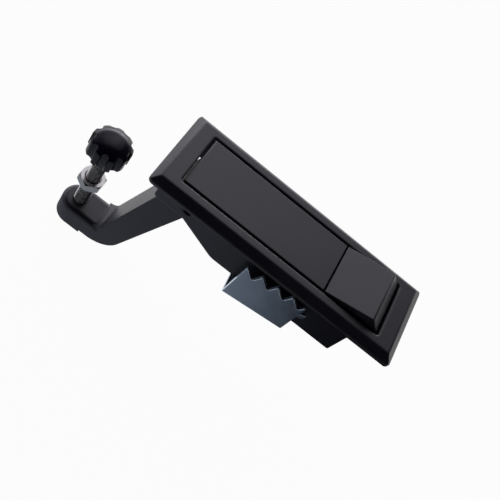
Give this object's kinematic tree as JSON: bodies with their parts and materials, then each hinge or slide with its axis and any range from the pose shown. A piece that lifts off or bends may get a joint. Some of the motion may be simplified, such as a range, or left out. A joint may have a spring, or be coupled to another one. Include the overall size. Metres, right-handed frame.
{
  "type": "compression latch",
  "caption": "Flush flanged lever latch with a wedge trigger, an offset arm with an adjusting stud and hand knob, and a toothed bracket that clamps it in a panel.",
  "frame": {"origin": "middle of the flange outline on the plane that seats on the panel", "axes": "+X along the flange from the arm end to the trigger end, +Y across the flange, +Z out of the panel towards the hand"},
  "size_m": [0.1758, 0.0543, 0.1093],
  "materials": {
    "powder_coat": "satin black powder coat with a fine grain on die-cast metal",
    "arm_coat": "satin black powder coat on the cast arm",
    "zinc_plate": "bright zinc plating on pressed steel sheet, slightly blue",
    "plated_hardware": "bright plated steel stud, nut, pins and screws",
    "knob_plastic": "glossy black moulded thermoset",
    "spring_steel": "drawn spring wire",
    "nylon": "natural nylon"
  },
  "bodies": {
    "tray": {"housing": "powder_coat", "lever_pin": "plated_hardware", "lever_pin_clip": "spring_steel", "lever_spacers": "nylon", "trigger_pin": "plated_hardware", "trigger_pin_clip": "spring_steel", "catch_pin": "plated_hardware", "catch_spring": "spring_steel"},
    "lever_arm": {"lever": "powder_coat", "arm": "arm_coat", "arm_pin": "plated_hardware"},
    "stud": {"adjusting_stud": "plated_hardware"},
    "hand_knob": {"knob": "knob_plastic", "knob_bush": "plated_hardware"},
    "nut": {"lock_nut": "plated_hardware"},
    "trigger_wedge": {"trigger": "powder_coat"},
    "catch_rocker": {"catch": "zinc_plate"},
    "clamp": {"clamp_bracket": "zinc_plate", "clamp_washer": "zinc_plate", "clamp_lock_washer": "zinc_plate"},
    "clamp_fastener": {"clamp_screw": "plated_hardware"}
  },
  "joints": [
    {"name": "lever_swing", "type": "hinge", "parent": "tray", "child": "lever_arm", "pos_m": [-0.0323, 0, -0.0032], "axis": [0, -1, 0], "range_deg": [0, 50]},
    {"name": "knob_turn", "type": "hinge", "parent": "stud", "child": "hand_knob", "pos_m": [-0.0949, 0, -0.0315], "axis": [0, 0, 1], "range_deg": [-1450, 1450]},
    {"name": "stud_travel", "type": "slide", "parent": "lever_arm", "child": "stud", "axis": [0, 0, 1], "range_m": [-0.005, 0.005]},
    {"name": "nut_travel", "type": "slide", "parent": "lever_arm", "child": "nut", "axis": [0, 0, 1], "range_m": [-0.0177, 0.0121]},
    {"name": "trigger_press", "type": "hinge", "parent": "tray", "child": "trigger_wedge", "pos_m": [0.0288, 0, -0.0027], "axis": [0, 1, 0], "range_deg": [0, 12], "stiffness_Nm_per_rad": 0.12, "springref_deg": -14.32, "deforming": ["catch_spring"]},
    {"name": "catch_turn", "type": "hinge", "parent": "tray", "child": "catch_rocker", "pos_m": [0.0277, 0, -0.016], "axis": [0, 1, 0], "range_deg": [-0.5, 12.5]},
    {"name": "screw_turn", "type": "hinge", "parent": "clamp", "child": "clamp_fastener", "pos_m": [0.0042, 0, -0.0341], "axis": [0, 0, 1], "range_deg": [-2170, 874]},
    {"name": "clamp_travel", "type": "slide", "parent": "tray", "child": "clamp", "axis": [0, 0, 1], "range_m": [-0.006, 0.0024]}
  ],
  "couplings": [
    {"joint": "knob_turn", "follows": "stud_travel", "rad_per_m": 5026.5},
    {"joint": "catch_turn", "follows": "trigger_press", "ratio": 1},
    {"joint": "screw_turn", "follows": "clamp_travel", "rad_per_m": 6283.2}
  ]
}
